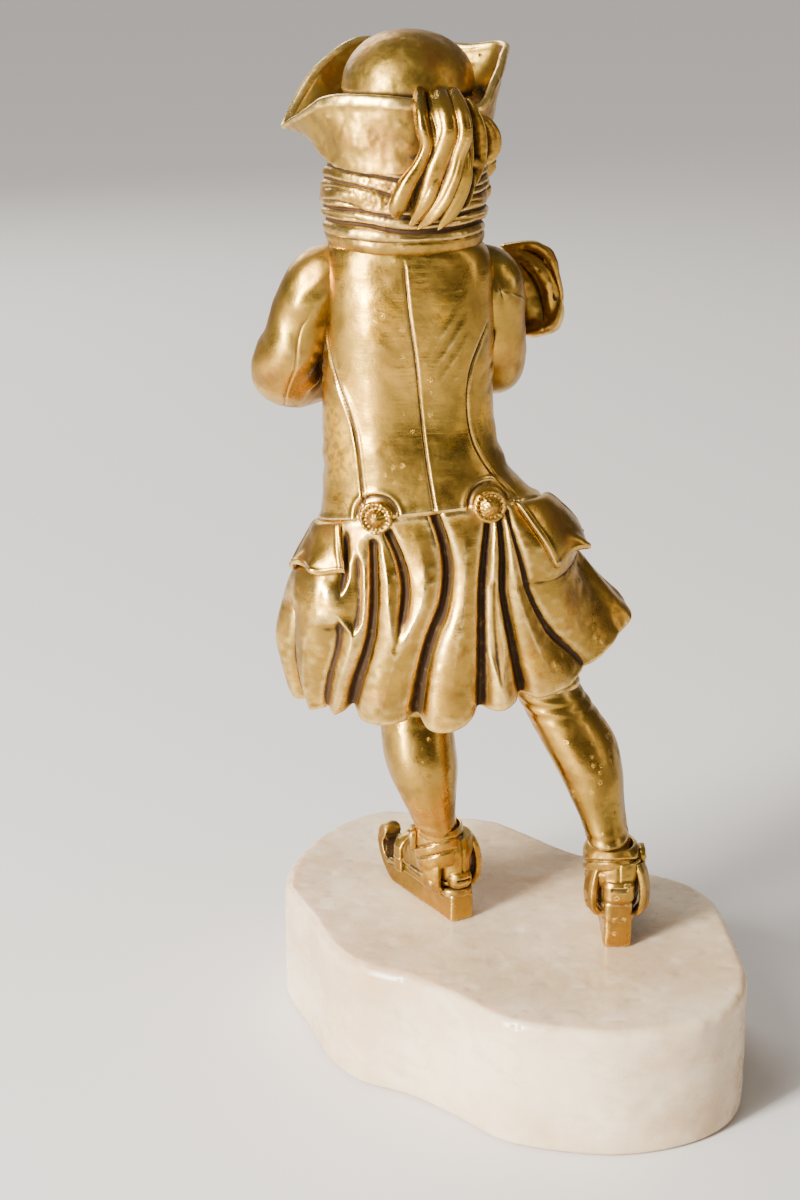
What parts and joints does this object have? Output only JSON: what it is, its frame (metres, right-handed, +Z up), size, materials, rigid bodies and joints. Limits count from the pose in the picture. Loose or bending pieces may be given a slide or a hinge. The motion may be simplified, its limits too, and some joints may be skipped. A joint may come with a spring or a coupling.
{
  "type": "figurine",
  "caption": "Gilt bronze figure of a young skater in a tricorne hat and pleated frock coat, on a free-form alabaster plinth.",
  "frame": {"origin": "on the plinth's flat underside, near the middle of its outline, in the plane that rests on the table", "axes": "+Z up through the figure; the figure faces -Y, and its left hand is on the +X side"},
  "size_m": [0.0759, 0.0815, 0.16],
  "materials": {
    "gilt_bronze": "gilt bronze, warm gold on worn high places with dark brown patina in the hollows",
    "skate_bronze": "gilt bronze, duller and darker, with rubbed edges",
    "pin_bronze": "plain turned bronze, hidden",
    "alabaster": "translucent cream alabaster, softly polished, with faint tan clouding and small pits",
    "steel": "plain zinc-dulled steel"
  },
  "bodies": {
    "root": {"alabaster_plinth": "alabaster", "ankle_buckle_left": "skate_bronze", "ankle_buckle_right": "skate_bronze", "ankle_strap_left": "gilt_bronze", "ankle_strap_right": "gilt_bronze", "back_button_left": "gilt_bronze", "back_button_right": "gilt_bronze", "breeches": "gilt_bronze", "coat_body": "gilt_bronze", "coat_skirt": "gilt_bronze", "cuff_left": "gilt_bronze", "cuff_right": "gilt_bronze", "front_button_1": "gilt_bronze", "front_button_2": "gilt_bronze", "front_button_3": "gilt_bronze", "front_button_4": "gilt_bronze", "front_button_5": "gilt_bronze", "hair_back": "gilt_bronze", "hair_curl_1": "gilt_bronze", "hair_curl_2": "gilt_bronze", "hair_curl_3": "gilt_bronze", "hair_queue": "gilt_bronze", "hand_left": "gilt_bronze", "hand_right": "gilt_bronze", "hat_brim": "gilt_bronze", "hat_crown": "gilt_bronze", "hat_pin": "pin_bronze", "head": "gilt_bronze", "instep_strap_left": "gilt_bronze", "instep_strap_right": "gilt_bronze", "knee_pin_left": "pin_bronze", "knee_pin_right": "pin_bronze", "leg_left": "gilt_bronze", "leg_right": "gilt_bronze", "mounting_stud_left": "steel", "mounting_stud_right": "steel", "neck_pin": "pin_bronze", "pocket_flap_left": "gilt_bronze", "pocket_flap_right": "gilt_bronze", "ribbon_bow": "gilt_bronze", "scarf_end": "gilt_bronze", "scarf_wrap": "gilt_bronze", "shoe_left": "gilt_bronze", "shoe_right": "gilt_bronze", "shoulder_pin_left": "pin_bronze", "shoulder_pin_right": "pin_bronze", "skate_footplate_left": "skate_bronze", "skate_footplate_right": "skate_bronze", "skate_runner_left": "skate_bronze", "skate_runner_right": "skate_bronze", "sleeve_left": "gilt_bronze", "sleeve_right": "gilt_bronze", "stud_nut_left": "steel", "stud_nut_right": "steel", "stud_washer_left": "steel", "stud_washer_right": "steel", "waist_pin": "pin_bronze"}
  },
  "joints": []
}
